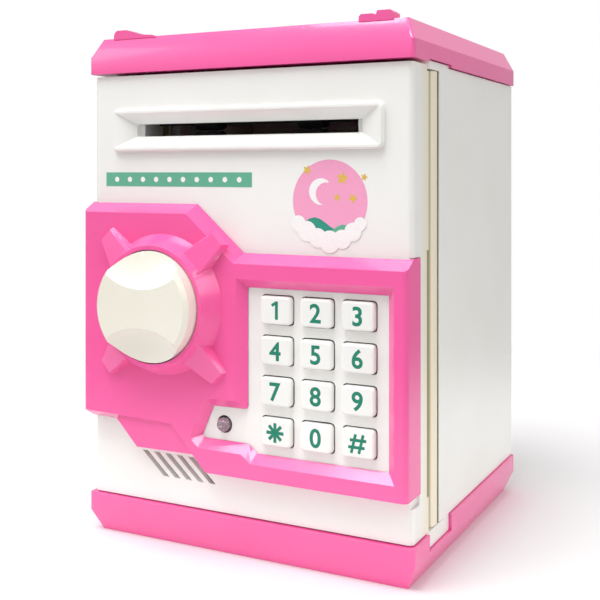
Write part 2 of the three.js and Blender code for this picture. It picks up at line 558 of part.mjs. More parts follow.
function frontPanel() {
  const yWrap = Y_PANEL + PANEL_PROUD + PANEL_WRAP;
  const halfWidth = X_WALL + PANEL_SIDE_PROUD;
  const plan = slabZ(doorPlan(halfWidth, Y_PANEL, yWrap, PANEL_CORNER), 0, HEIGHT);
  const door = slabZ(doorPlan(X_WALL - DOOR_REBATE + GAP, Y_FACE - GAP, yWrap + 1, 0.5), 0, HEIGHT);
  const undercut = block([-18, WIDTH], [Y_PANEL - 1, yWrap + 1], [0, PANEL_BOTTOM]);
  const face = cut(bevelledY(panelFoot, Y_PANEL, yWrap, PANEL_PROUD, PANEL_EDGE), undercut);
  const tab = slabY(outline(panelTab), Y_PANEL + TAB_DROP, Y_FACE - GAP);
  const hollow = cut(
    slabY(outline(grown(panelFace, -0.6)), Y_PANEL + PANEL_SKIN, Y_FACE)
      .intersect(slabZ(doorPlan(halfWidth - 2.4, Y_PANEL + PANEL_SKIN, Y_FACE + 1, 2), 0, HEIGHT)),
    slabY(outline(grown(windowOutline, FUNNEL_W + 2)), Y_PANEL, Y_FACE + 1),
    rod('y', RING_R_BACK + 1, Y_PANEL, Y_FACE + 1, KNOB_X, KNOB_Z, 32),
  );
  const ring = rod('y', RING_R_FRONT, Y_PANEL - RING_H, Y_PANEL + 1, KNOB_X, KNOB_Z, 48, RING_R_BACK + 0.5);
  const bore = rod('y', KNOB_BORE_R, Y_PANEL - RING_H - 1, Y_PANEL + 1.2, KNOB_X, KNOB_Z, 48);
  const shaftHole = rod('y', SHAFT_R + 0.4, Y_PANEL, Y_FACE + 1, KNOB_X, KNOB_Z);
  const lugs = [1, 3, 5, 7].map((k) => knobLug(k * Math.PI / 4));
  const rimY = Y_KEYPLATE - GAP;
  const funnelDepth = rimY - Y_PANEL;
  const widening = new THREE.ExtrudeGeometry(outline(windowOutline), {
    depth: 3, bevelThickness: funnelDepth, bevelSize: FUNNEL_W, bevelSegments: 1,
  });
  const funnel = solid(widening.rotateX(Math.PI / 2).translate(0, Y_PANEL, 0))
    .intersect(block([-WIDTH, WIDTH], [Y_PANEL - 2, rimY], [0, HEIGHT]));
  const window = slabY(outline(windowOutline, 1.5), Y_PANEL - 1, Y_FACE + 1);
  const plateRecess = slabY(outline(grown(windowOutline, 1.5)), rimY, Y_FACE + 1);
  return cut(union(cut(face.intersect(plan), door, hollow), tab, ring, ...lugs),
    bore, shaftHole, funnel, window, plateRecess);
}

const keyPlaces = [];
const keyNames = ['1', '2', '3', '4', '5', '6', '7', '8', '9', 'star', '0', 'hash'];
keyNames.forEach((name, i) => {
  const [row, column] = [Math.floor(i / 3), i % 3];
  keyPlaces.push({ name, x: KEYPAD_X + (column - 1) * KEY_PITCH_X, z: KEYPAD_Z + (1.5 - row) * KEY_PITCH_Z });
});

function keypadPlate() {
  const plate = slabY(outline(grown(windowOutline, 1.2)), Y_KEYPLATE, Y_KEYPLATE + PLATE_T);
  const [halfW, halfH] = [KEY_W / 2 + KEY_CLEARANCE, KEY_H / 2 + KEY_CLEARANCE];
  const holes = keyPlaces.map(({ x, z }) => slabY(
    outline(rectangle(x - halfW, x + halfW, z - halfH, z + halfH), 1.4),
    Y_KEYPLATE - 1, Y_KEYPLATE + PLATE_T + 1, 2,
  ));
  return cut(plate, rod('y', LED_R + 0.7, Y_KEYPLATE - 1, Y_FACE, LED_X, LED_Z, 20), ...holes);
}

// A key cap centred on the origin in X and Z, its flange behind the plate.
function keyCap() {
  const [w, h] = [KEY_W / 2, KEY_H / 2];
  const flangeY = Y_KEYPLATE + PLATE_T + GAP;
  return union(
    bevelledBlock('y', rectangle(-w, w, -h, h), 1.4, flangeY + 0.2, Y_KEYPLATE - KEY_PROUD, 0.5, 0.5, 2),
    slabY(outline(grown(rectangle(-w, w, -h, h), KEY_FLANGE)), flangeY, flangeY + 1),
  );
}

const KEY_BACK = Y_KEYPLATE + PLATE_T + GAP + 1;
const MEMBRANE_Y = KEY_BACK + KEY_TRAVEL + GAP;
const BOARD_Y = MEMBRANE_Y + 1.7;

function keyMembrane() {
  const [reachX, reachZ] = [KEYS_X + KEY_FLANGE, KEYS_Z + KEY_FLANGE];
  const sheet = block([KEYPAD_X - reachX, KEYPAD_X + reachX], [MEMBRANE_Y + 0.7, MEMBRANE_Y + 1.4],
    [KEYPAD_Z - reachZ, KEYPAD_Z + reachZ]);
  const domes = keyPlaces.map(({ x, z }) => rod('y', 3, MEMBRANE_Y, MEMBRANE_Y + 1, x, z, 10));
  return union(sheet, ...domes);
}

function doorBack() {
  const flange = block([-X_WALL + WALL + GAP, WEB_X0 - GAP], [Y_RETURN - FLANGE_T, Y_RETURN],
    [DOOR_Z0 + WALL, DOOR_Z1 - WALL]);
  const pan = block([BACK_X0, BACK_X1], [Y_RETURN - FLANGE_T, BACK_Y], [BACK_Z0, BACK_Z1]);
  const inside = block([BACK_X0 + BACK_WALL, BACK_X1 - BACK_WALL],
    [Y_RETURN - FLANGE_T - 1, BACK_Y - BACK_WALL], [BACK_Z0 + BACK_WALL, BACK_Z1 - BACK_WALL]);
  const boltGate = block([BACK_X0 - 1, BACK_X0 + BACK_WALL + 1], [BOLT_Y0 - GAP, BOLT_Y0 + BOLT_T + GAP],
    [BOLT_Z0 - GAP, BOLT_Z0 + BOLT_H + GAP]);
  const guideX = [BACK_X0 + BACK_WALL - 0.5, KNOB_X - 8];
  const guides = [BOLT_Z0 - GAP - 2, BOLT_Z0 + BOLT_H + GAP].map((z) =>
    block(guideX, [BOLT_Y0, BACK_Y - BACK_WALL + 0.5], [z, z + 2]));
  const noteExit = block([-44, 44], [BACK_Y - BACK_WALL - 1, BACK_Y + 1], [SLOT_Z - 3.3, SLOT_Z + 3.3]);
  const [bayX0, bayX1] = [CELLS_X - CELL_LENGTH / 2 - 2.4, CELLS_X + CELL_LENGTH / 2 + 2.4];
  const bayHalf = CELL_PITCH + CELL_R + 1;
  const [bayZ0, bayZ1] = [CELLS_Z - bayHalf, CELLS_Z + bayHalf];
  const bayY = [CELL_Y - 3, BACK_Y - 0.5];
  const bay = [
    block([bayX0 - 1.8, bayX0], bayY, [bayZ0 - 1.8, bayZ1 + 1.8]),
    block([bayX0 - 1.8, BACK_X1 - 0.5], bayY, [bayZ0 - 1.8, bayZ0]),
    block([bayX0 - 1.8, BACK_X1 - 0.5], bayY, [bayZ1, bayZ1 + 1.8]),
  ];
  const bayDoor = block([bayX0 + 1, bayX1 - 1], [BACK_Y - BACK_WALL - 1, BACK_Y + 1], [bayZ0 + 1, bayZ1 - 1]);
  const coverBoss = rod('y', 3, BACK_Y - 8, BACK_Y - BACK_WALL + 0.5, CELLS_X, bayZ1 + 4.6, 16);
  const coverHole = rod('y', SCREW_R + GAP, BACK_Y - 7, BACK_Y + 1, CELLS_X, bayZ1 + 4.6, 12);
  const screwHoles = doorScrews.map(([x, z]) => rod('y', SCREW_R + GAP, Y_RETURN - 4, Y_RETURN + 1, x, z, 12));
  return cut(union(cut(union(flange, pan), inside), ...guides, ...bay, coverBoss),
    boltGate, noteExit, bayDoor, coverHole, ...screwHoles);
}

function batteryCover() {
  const [x0, x1] = [CELLS_X - CELL_LENGTH / 2 - 1.4 + GAP, CELLS_X + CELL_LENGTH / 2 + 1.4 - GAP];
  const half = CELL_PITCH + CELL_R - GAP;
  const plate = block([x0, x1], [BACK_Y - BACK_WALL, BACK_Y], [CELLS_Z - half, CELLS_Z + half]);
  const tab = block([CELLS_X - 5, CELLS_X + 5], [BACK_Y + GAP, BACK_Y + GAP + 1.6],
    [CELLS_Z + half - 4, CELLS_Z + CELL_PITCH + CELL_R + 8.5]);
  const link = block([CELLS_X - 5, CELLS_X + 5], [BACK_Y - 0.5, BACK_Y + GAP + 0.5],
    [CELLS_Z + half - 4, CELLS_Z + half]);
  return cut(union(plate, tab, link),
    rod('y', SCREW_R + GAP, BACK_Y - 3, BACK_Y + 4, CELLS_X, CELLS_Z + CELL_PITCH + CELL_R + 5.6, 12));
}

add('door_shell', doorShell(), whiteAbs());
add('front_panel', frontPanel(), pinkAbs());
add('keypad_plate', keypadPlate(), whiteAbs());
add('key_membrane', keyMembrane(), rubber());
add('circuit_board', block([LED_X - 5, WEB_X0 - 0.7], [BOARD_Y, BOARD_Y + 1.6], [KEYPAD_Z - 28, KEYPAD_Z + 28]),
  finish('#2f7d4d', 0.5));
add('status_led', turned([[0, 0], [LED_R, 0], [LED_R, 6.5], [LED_R * 0.87, 7.7], [LED_R * 0.5, 8.6], [0, 9]],
  20).rotateX(Math.PI), finish('#b9a7ad', 0.15), [LED_X, BOARD_Y - GAP - 0.2, LED_Z]);
add('speaker', turned([[0, 0], [8, 0], [8, 3.4], [SPEAKER_R, 4.4], [SPEAKER_R, 7.8], [SPEAKER_R - 1.5, 7.8],
  [4, 5.8], [0, 5.8]], 28).rotateX(Math.PI), finish('#303235', 0.6),
[SPEAKER_X, Y_PLATE + GAP + 7.8, SPEAKER_Z]);
add('door_back', doorBack(), whiteAbs());
add('battery_cover', batteryCover(), whiteAbs());

const backwardScrew = turned(screwProfile(7), 12).rotateX(Math.PI);
doorScrews.forEach(([x, z], i) => {
  add(`door_screw_${i + 1}`, backwardScrew, steel(), [x, Y_RETURN + GAP, z]);
});
const coverScrew = turned(screwProfile(5), 12).rotateX(Math.PI);
add('battery_cover_screw', coverScrew, steel(),
  [CELLS_X, BACK_Y + 1.6 + 2 * GAP, CELLS_Z + CELL_PITCH + CELL_R + 5.6]);

// Cells lie along X between two contact plates.
const cell = turned([[0, 0], [CELL_R, 0], [CELL_R, CELL_LENGTH - 1], [2.75, CELL_LENGTH - 1],
  [2.75, CELL_LENGTH], [0, CELL_LENGTH]]).rotateZ(-Math.PI / 2);
[-1, 0, 1].forEach((k, i) => {
  add(`battery_cell_${i + 1}`, cell, finish('#3b3f45', 0.4, 0.4),
    [CELLS_X - CELL_LENGTH / 2, CELL_Y, CELLS_Z + k * CELL_PITCH]);
});
[['contact_plate_left', -1], ['contact_plate_right', 1]].forEach(([name, side]) => {
  const near = CELLS_X + side * (CELL_LENGTH / 2 + GAP);
  const far = near + side * 0.8;
  const half = CELL_PITCH + CELL_R - 1;
  add(name, block([Math.min(near, far), Math.max(near, far)], [CELL_Y - 2.5, BACK_Y - BACK_WALL - GAP],
    [CELLS_Z - half, CELLS_Z + half]), steel());
});

// ---------------------------------------------------------------- lock
function lockKnob() {
  const front = Y_PANEL - KNOB_FRONT;
  const rear = Y_PANEL + 1.2 - GAP;
  const cap = bevelledKnobCap(front, rear);
  const shaft = rod('y', SHAFT_R, rear - 0.5, CAM_Y0 - GAP, KNOB_X, KNOB_Z);
  const key = block([KNOB_X - 2.5, KNOB_X + 2.5], [CAM_Y0 - 1, CAM_Y0 + 1.5], [KNOB_Z - 2.5, KNOB_Z + 2.5]);
  const hole = rod('y', SCREW_R + GAP, CAM_Y0 - 10, CAM_Y1, KNOB_X, KNOB_Z, 12);
  return cut(union(cap, shaft, key), hole);
}

// The cap is a drum with two scoops, which leave the grip bar between them.
function bevelledKnobCap(front, rear) {
  const drum = union(
    rod('y', KNOB_R, front + 1.5, rear, KNOB_X, KNOB_Z, 48),
    rod('y', KNOB_R - 1.5, front, front + 1.6, KNOB_X, KNOB_Z, 48, KNOB_R),
  );
  const scoops = [-1, 1].map((side) => {
    const scoop = new THREE.SphereGeometry(1, 36, 20);
    scoop.scale(KNOB_R + 2.8, SCOOP_DEPTH + 1.3, KNOB_R - 0.8);
    scoop.translate(KNOB_X, front - 1, KNOB_Z + side * (KNOB_R + 5.8));
    return solid(scoop);
  });
  return cut(drum, ...scoops);
}

// The plunger drops into a notch at the top. The second notch comes to the top when the knob is at its
// other stop.
function knobCam() {
  const disc = rod('y', CAM_R, CAM_Y0, CAM_Y1, KNOB_X, KNOB_Z, 36);
  const [reach, half] = [CAM_R - PLUNGER_TRAVEL - 0.5, PLUNGER_R + 0.7];
  const through = [CAM_Y0 - 1, CAM_Y1 + 1];
  const topNotch = block([KNOB_X - half, KNOB_X + half], through, [KNOB_Z + reach, KNOB_Z + 20]);
  const sideNotch = block([KNOB_X + reach, KNOB_X + 20], through, [KNOB_Z - half, KNOB_Z + half]);
  const offset = CRANK_R * Math.SQRT1_2;
  const crank = rod('y', CRANK_PIN_R, CAM_Y1 - 0.5, BOLT_Y0 + BOLT_T - 0.2,
    KNOB_X + offset, KNOB_Z + offset, 16);
  const socket = block([KNOB_X - 2.8, KNOB_X + 2.8], [CAM_Y0 - 1, CAM_Y0 + 1.8], [KNOB_Z - 2.8, KNOB_Z + 2.8]);
  const counterbore = rod('y', SCREW_HEAD_R + GAP, CAM_Y1 - 2.1, CAM_Y1 + 1, KNOB_X, KNOB_Z, 20);
  const hole = rod('y', SCREW_R + GAP, CAM_Y0, CAM_Y1, KNOB_X, KNOB_Z, 12);
  return cut(union(cut(disc, topNotch, sideNotch, counterbore), crank), socket, hole);
}

// The crank pin runs in an upright slot, so a quarter turn of the knob moves the bolt sideways.
function latchBolt() {
  const offset = CRANK_R * Math.SQRT1_2;
  const [slotX, half] = [KNOB_X + offset, CRANK_PIN_R + 0.4];
  const bar = block([BOLT_TIP, slotX + half + 2.2], [BOLT_Y0, BOLT_Y0 + BOLT_T], [BOLT_Z0, BOLT_Z0 + BOLT_H]);
  const slot = block([slotX - half, slotX + half], [BOLT_Y0 - 1, BOLT_Y0 + BOLT_T + 1],
    [KNOB_Z + offset - half, KNOB_Z + CRANK_R + half]);
  return cut(bar, slot);
}

add('lock_knob', lockKnob(), ivoryAbs());
add('knob_cam', knobCam(), acetal());
add('knob_screw', turned(screwProfile(9), 12).rotateX(Math.PI), steel(), [KNOB_X, CAM_Y1 - 2.1 + GAP, KNOB_Z]);
add('latch_bolt', latchBolt(), acetal());

const plungerTip = KNOB_Z + CAM_R + 0.5;
const coilZ = [plungerTip + 3, plungerTip + 23];
const plungerY = (CAM_Y0 + CAM_Y1) / 2;
const coil = cut(block([KNOB_X - 7, KNOB_X + 7], [plungerY - 6, plungerY + 6], coilZ),
  rod('z', PLUNGER_R + GAP, coilZ[0] - 1, coilZ[1] - 2, KNOB_X, plungerY));
add('lock_solenoid', coil, finish('#a3572f', 0.4, 0.3));
add('solenoid_plunger', rod('z', PLUNGER_R, plungerTip, coilZ[1] - 2.5, 0, 0), steel(), [KNOB_X, plungerY, 0]);

// ---------------------------------------------------------------- key caps
const cap = keyCap();
keyPlaces.forEach(({ name, x, z }) => add(`key_${name}`, cap, whiteAbs(), [x, 0, z]));

// ---------------------------------------------------------------- note feed
// A straight-sided gear along +X, one tooth standing straight up when phase is 0.
function spurGear(teeth, thickness, bore, phase) {
  const pitch = teeth * GEAR_MODULE / 2;
  const [tip, root] = [pitch + GEAR_MODULE, pitch - 1.2 * GEAR_MODULE];
  const step = 2 * Math.PI / teeth;
  const points = [];
  for (let i = 0; i < teeth; i += 1) {
    const middle = (i + phase) * step;
    for (const [r, share] of [[root, -0.3], [tip, -0.1], [tip, 0.1], [root, 0.3]]) {
      const angle = middle + share * step;
      points.push([r * Math.sin(angle), r * Math.cos(angle)]);
    }
  }
  const shape = outline(points.reverse());
  const wheel = new THREE.ExtrudeGeometry(shape, { depth: thickness, bevelEnabled: false });
  const turn = new THREE.Matrix4().makeBasis(new THREE.Vector3(0, 1, 0), new THREE.Vector3(0, 0, 1),
    new THREE.Vector3(1, 0, 0));
  return cut(solid(wheel.applyMatrix4(turn)), rod('x', bore, -1, thickness + 1, 0, 0, 20));
}

const gearX = -EAR_X - GAP - GEAR_T - 0.2;
const axleEnd = EAR_X - GAP;
const driveAxle = rod('x', AXLE_R, gearX - 0.5, axleEnd, 0, 0);
const driveGear = spurGear(GEAR_TEETH, GEAR_T, AXLE_R + GAP, 0.5);
const roller = (radius) => cut(rod('x', radius, -ROLLER_W / 2, ROLLER_W / 2, 0, 0, 28),
  rod('x', AXLE_R + GAP, -ROLLER_W, ROLLER_W, 0, 0));
add('roller_axle', driveAxle, steel(), [0, AXLE_Y, DRIVE_Z]);
add('drive_gear', driveGear, acetal(), [gearX, AXLE_Y, DRIVE_Z]);
add('drive_roller_left', roller(DRIVE_ROLLER_R), rubber(), [-ROLLER_X, AXLE_Y, DRIVE_Z]);
add('drive_roller_right', roller(DRIVE_ROLLER_R), rubber(), [ROLLER_X, AXLE_Y, DRIVE_Z]);

const idler = union(rod('x', AXLE_R, -axleEnd, axleEnd, 0, 0),
  ...[-ROLLER_X, ROLLER_X].map((x) => rod('x', IDLER_ROLLER_R, x - ROLLER_W / 2, x + ROLLER_W / 2, 0, 0, 28)));
add('idler_roller', idler, acetal(), [0, AXLE_Y, IDLER_Z]);

const motorX = [-EAR_X + 1.2, -EAR_X + 23.5];
const motor = union(
  block(motorX, [AXLE_Y - 5, AXLE_Y + 5], [PINION_Z - 6, PINION_Z + 6]),
  rod('x', 0.75, gearX + 0.4, motorX[0] + 0.5, AXLE_Y, PINION_Z, 12),
);
add('feed_motor', motor, steel());
add('motor_pinion', spurGear(PINION_TEETH, GEAR_T, 0.75 + GAP, 0), acetal(), [gearX, AXLE_Y, PINION_Z]);

export default bank;
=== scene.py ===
import math

import bmesh
import bpy
from mathutils import Matrix, Vector


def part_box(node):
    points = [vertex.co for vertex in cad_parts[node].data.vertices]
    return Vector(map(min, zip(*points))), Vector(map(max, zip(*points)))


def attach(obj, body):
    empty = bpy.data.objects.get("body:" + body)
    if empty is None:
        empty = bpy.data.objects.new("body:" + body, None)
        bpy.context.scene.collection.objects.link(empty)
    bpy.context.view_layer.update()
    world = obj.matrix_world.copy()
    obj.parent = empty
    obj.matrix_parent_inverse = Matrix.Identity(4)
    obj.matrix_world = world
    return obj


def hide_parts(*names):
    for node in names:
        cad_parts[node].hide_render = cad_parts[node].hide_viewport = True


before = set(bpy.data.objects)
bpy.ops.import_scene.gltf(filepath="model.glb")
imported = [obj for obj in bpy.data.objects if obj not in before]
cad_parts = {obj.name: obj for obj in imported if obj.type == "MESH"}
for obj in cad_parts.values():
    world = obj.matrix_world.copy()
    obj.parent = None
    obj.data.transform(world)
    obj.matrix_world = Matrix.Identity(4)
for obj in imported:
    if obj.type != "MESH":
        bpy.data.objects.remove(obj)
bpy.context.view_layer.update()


# ---------------------------------------------------------------- camera, floor and studio light
# The bank stands on a white table in a light tent: the tent lights it almost evenly, and three soft
# lamps model the faces a little. The camera is level, with its lens shifted down to the object.
MM = 0.001


def linear(hex_code):
    """An sRGB hex colour as linear RGBA."""
    channels = [int(hex_code[i:i + 2], 16) / 255 for i in (1, 3, 5)]
    return [c / 12.92 if c <= 0.04045 else ((c + 0.055) / 1.055) ** 2.4 for c in channels] + [1.0]


def add_node(tree, kind, settings=None, links=None):
    """Adds a shader node, sets its sockets and properties, and links what feeds it."""
    made = tree.nodes.new(kind)
    for key, value in (settings or {}).items():
        if isinstance(key, int) or key in made.inputs:
            made.inputs[key].default_value = value
        else:
            setattr(made, key, value)
    for key, source in (links or {}).items():
        tree.links.new(source, made.inputs[key])
    return made


camera = bpy.data.objects.new("camera", bpy.data.cameras.new("camera"))
camera.location = (183.85 * MM, -351.46 * MM, 138.48 * MM)
camera.rotation_euler = (math.radians(90), 0, math.radians(25.53))
camera.data.lens = 57.6
camera.data.shift_x = -0.0833
camera.data.shift_y = -0.2131
bpy.context.scene.collection.objects.link(camera)
bpy.context.scene.camera = camera
bpy.context.scene.view_settings.view_transform = "Standard"

table_half_width = 3.0
table_top = bmesh.new()
bmesh.ops.create_grid(table_top, x_segments=8, y_segments=8, size=table_half_width)
floor = bpy.data.objects.new("floor", bpy.data.meshes.new("floor"))
table_top.to_mesh(floor.data)
table_top.free()
bpy.context.scene.collection.objects.link(floor)

# White laminate: matt, so it only takes the bank's soft shadow. It fades out further off, so that
# no horizon shows.
fade_from, fade_to = 0.13, 0.45
laminate = bpy.data.materials.new("white_table_laminate")
laminate.use_nodes = True
tree = laminate.node_tree
shader = tree.nodes["Principled BSDF"]
shader.inputs["Base Color"].default_value = linear("#e9e8e8")
shader.inputs["Roughness"].default_value = 0.7
place = add_node(tree, "ShaderNodeTexCoord").outputs["Object"]
distance = add_node(tree, "ShaderNodeVectorMath", {"operation": "LENGTH"}, {0: place}).outputs["Value"]
fade = add_node(tree, "ShaderNodeMapRange",
                {"From Min": fade_from, "From Max": fade_to, "interpolation_type": "SMOOTHSTEP"},
                {"Value": distance})
clear = add_node(tree, "ShaderNodeBsdfTransparent")
blend = add_node(tree, "ShaderNodeMixShader", None,
                 {0: fade.outputs["Result"], 1: shader.outputs[0], 2: clear.outputs[0]})
tree.links.new(blend.outputs[0], tree.nodes["Material Output"].inputs["Surface"])
floor.data.materials.append(laminate)

# The tent glows brighter overhead than low down, and looks plain white behind the bank.
world = bpy.data.worlds.new("light_tent")
bpy.context.scene.world = world
world.use_nodes = True
tree = world.node_tree
tent_glow = tree.nodes["Background"]
tent_glow.inputs["Color"].default_value = linear("#ffffff")
direction = add_node(tree, "ShaderNodeTexCoord").outputs["Generated"]
upward = add_node(tree, "ShaderNodeSeparateXYZ", None, {"Vector": direction}).outputs["Z"]
strength = add_node(tree, "ShaderNodeMapRange",
                    {"From Min": -0.4, "From Max": 0.6, "To Min": 0.15, "To Max": 0.85}, {"Value": upward})
tree.links.new(strength.outputs["Result"], tent_glow.inputs["Strength"])
backdrop = add_node(tree, "ShaderNodeBackground", {"Color": linear("#ffffff"), "Strength": 1.0})
seen = add_node(tree, "ShaderNodeLightPath").outputs["Is Camera Ray"]
mixed = add_node(tree, "ShaderNodeMixShader", None,
                 {0: seen, 1: tent_glow.outputs[0], 2: backdrop.outputs[0]})
tree.links.new(mixed.outputs[0], tree.nodes["World Output"].inputs["Surface"])

middle_of_bank = Vector((0, 0, 0.09))
softbox_width = 0.6
for name, spot, watts, colour in [
    ("overhead_softbox", (-0.15, -0.45, 1.2), 11.0, "#fdfcff"),
    ("left_softbox", (-1.1, -0.7, 0.7), 2.6, "#ffffff"),
    ("right_softbox", (1.2, -0.3, 0.7), 3.2, "#fffdf6"),
]:
    lamp = bpy.data.objects.new(name, bpy.data.lights.new(name, "AREA"))
    lamp.data.size = softbox_width
    lamp.data.energy = watts
    lamp.data.color = linear(colour)[:3]
    lamp.location = spot
    lamp.rotation_euler = (middle_of_bank - Vector(spot)).to_track_quat("-Z", "Y").to_euler()
    bpy.context.scene.collection.objects.link(lamp)


# ---------------------------------------------------------------- moulded shells
# The case, cover, base, door, panel and knob are injection-moulded ABS, with a small radius on every
# edge from the mould. Screws hold the cover, the base, the door's back and the knob.
def per(size_mm):
    """The scale that gives a noise or cell pattern features of a real size."""
    return 1 / (size_mm * MM)


def new_material(name):
    """An empty procedural material: itself, its tree, its shader and the object's own coordinates."""
    made = bpy.data.materials.new(name)
    made.use_nodes = True
    place = add_node(made.node_tree, "ShaderNodeTexCoord").outputs["Object"]
    return made, made.node_tree, made.node_tree.nodes["Principled BSDF"], place


def finish(tree, place, colours, tint_by, roughness, roughness_mm, relief_by, depth_mm,
           relief_detail=3.0):
    """Gives a surface its colours, a range of roughness and a relief of a depth. Its tint and its
    relief each follow a pattern, or else a cloud of a size in mm, as its roughness always does. A
    pattern that has colours of its own takes None for the two colours."""
    patterns = []
    for source, low, high, detail in [(tint_by, 0, 1, 3.0), (roughness_mm, *roughness, 3.0),
                                      (relief_by, 0, 1, relief_detail)]:
        if not isinstance(source, bpy.types.NodeSocket):
            noise = add_node(tree, "ShaderNodeTexNoise", {"Scale": per(source), "Detail": detail},
                             {"Vector": place})
            cloud = add_node(tree, "ShaderNodeMapRange",
                             {"From Min": 0.3, "From Max": 0.7, "To Min": low, "To Max": high},
                             {"Value": noise.outputs["Fac"]})
            source = cloud.outputs["Result"]
        patterns.append(source)
    tint, dullness, relief = patterns
    if colours:
        first, other = colours
        tint = add_node(tree, "ShaderNodeMix",
                        {"data_type": "RGBA", 6: linear(first), 7: linear(other)}, {0: tint}).outputs[2]
    bump = add_node(tree, "ShaderNodeBump", {"Strength": 1.0, "Distance": depth_mm * MM},
                    {"Height": relief})
    shader = tree.nodes["Principled BSDF"]
    tree.links.new(tint, shader.inputs["Base Color"])
    tree.links.new(dullness, shader.inputs["Roughness"])
    tree.links.new(bump.outputs["Normal"], shader.inputs["Normal"])


def moulded_abs(name, colours, roughness):
    """Moulded ABS: even colour with faint 35 mm flow marks, hazy gloss and a 0.7 mm grain."""
    made, tree, shader, place = new_material(name)
    shader.inputs["IOR"].default_value = 1.54
    shader.inputs["Coat Weight"].default_value = 0.5
    shader.inputs["Coat Roughness"].default_value = 0.08
    finish(tree, place, colours, tint_by=35, roughness=(roughness - 0.02, roughness + 0.03),
           roughness_mm=6, relief_by=0.7, depth_mm=0.0012, relief_detail=2.0)
    return made


def welded_copy(node):
    """A CAD node's mesh with its vertices merged and its flat faces whole again."""
    shape = bmesh.new()
    shape.from_mesh(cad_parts[node].data)
    bmesh.ops.remove_doubles(shape, verts=shape.verts, dist=0.01 * MM)
    bmesh.ops.dissolve_limit(shape, angle_limit=math.radians(0.5), verts=shape.verts, edges=shape.edges)
    return shape


def round_edges(shape, radius_mm, shortest_mm=1.2):
    """Bevels the edges of a shape that are sharper than 30 degrees and not too short for it."""
    sharp = [e for e in shape.edges if len(e.link_faces) == 2 and e.calc_length() > shortest_mm * MM
             and e.calc_face_angle() > math.radians(30)]
    bmesh.ops.bevel(shape, geom=sharp, offset=radius_mm * MM, segments=3, profile=0.5,
                    affect="EDGES", clamp_overlap=True, material=-1)


def add_piece(shape, name, body, material, slot, *nodes):
    """Makes a bmesh a piece that rides on a body and stands for its CAD nodes."""
    mesh = bpy.data.meshes.new(name)
    shape.to_mesh(mesh)
    shape.free()
    mesh.shade_smooth()
    mesh.set_sharp_from_angle(angle=math.radians(35))
    mesh.materials.append(material)
    piece = bpy.data.objects.new(name, mesh)
    bpy.context.scene.collection.objects.link(piece)
    even = piece.modifiers.new("flat_faces_stay_flat", "WEIGHTED_NORMAL")
    even.keep_sharp = True
    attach(piece, body)
    if nodes:
        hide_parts(*nodes)


pink_abs = moulded_abs("pink_moulded_abs", ("#f85fa6", "#f65ba2"), 0.24)
white_abs = moulded_abs("white_moulded_abs", ("#f6f6f2", "#f2f2ed"), 0.32)
ivory_abs = moulded_abs("ivory_moulded_abs", ("#f1eee0", "#ece8d8"), 0.3)

# The door's hinge barrel is coloured cream, and the groove between barrel and door is darkened to olive as
# painted shade.
# The places are distances in front of the hinge's axis.
door_abs = moulded_abs("white_door_abs", ("#f6f6f2", "#f2f2ed"), 0.32)
pin_low, pin_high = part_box("hinge_pin_top")
hinge_y = (pin_low[1] + pin_high[1]) / 2
cream_from, cream_full = hinge_y - 15.3 * MM, hinge_y - 9.0 * MM
groove_front, groove_deep, groove_end = hinge_y - 7.2 * MM, hinge_y - 3.9 * MM, hinge_y - 2.9 * MM
tree = door_abs.node_tree
door_colour = tree.nodes["Principled BSDF"].inputs["Base Color"]
place = add_node(tree, "ShaderNodeTexCoord").outputs["Object"]
depth = add_node(tree, "ShaderNodeSeparateXYZ", None, {"Vector": place}).outputs["Y"]
cream_share = add_node(tree, "ShaderNodeMapRange", {"From Min": cream_from, "From Max": cream_full},
                     {"Value": depth})
cream_barrel = add_node(tree, "ShaderNodeMix", {"data_type": "RGBA", 7: linear("#f3ead3")},
                {0: cream_share.outputs["Result"], 6: door_colour.links[0].from_socket})
# Painted shade: the groove between barrel and door turns olive-dark.
past_front = add_node(tree, "ShaderNodeMath", {"operation": "GREATER_THAN", 1: groove_front}, {0: depth})
before_end = add_node(tree, "ShaderNodeMapRange",
                      {"From Min": groove_deep, "From Max": groove_end, "To Min": 1.0, "To Max": 0.0},
                      {"Value": depth})
groove_shade = add_node(tree, "ShaderNodeMath", {"operation": "MULTIPLY"},
                     {0: before_end.outputs["Result"], 1: past_front.outputs[0]})
painted_groove_shade = add_node(tree, "ShaderNodeMix", {"data_type": "RGBA", 7: linear("#a39a6e")},
                 {0: groove_shade.outputs[0], 6: cream_barrel.outputs[2]})
tree.links.new(painted_groove_shade.outputs[2], door_colour)

for node, body, material, slot, radius_mm in [
    ("body_shell", "case", white_abs, "white_shell", 0.4),
    ("top_cover", "case", pink_abs, "pink_shell", 0.8),
    ("base_tray", "case", pink_abs, "pink_shell", 0.8),
    ("door_shell", "door", door_abs, "white_shell", 0.4),
    ("front_panel", "door", pink_abs, "pink_shell", 0.5),
    ("keypad_plate", "door", white_abs, "white_shell", 0.25),
    ("door_back", "door", white_abs, "white_shell", 0.3),
    ("battery_cover", "door", white_abs, "white_shell", 0.3),
    ("lock_knob", "knob", ivory_abs, "knob_ivory", 0.5),
]:
    shell = welded_copy(node)
    round_edges(shell, radius_mm)
    add_piece(shell, node + "_moulding", body, material, slot, node)


# ---------------------------------------------------------------- printed decoration on the door
# Pad-printed ink on the white door: a green dotted band under the note slot, and a round picture
# of a pink sky with hills, clouds, a moon and stars. Each colour lies on the last as a thin skin.
door_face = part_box("door_shell")[0][1] + 2.0 * MM  # the note slot's frame stands 2 mm proud of it
ink_mm, lowest_ink_mm, layer_mm = 0.03, 0.02, 0.04
stand_up = Matrix.Rotation(math.radians(90), 4, "X")


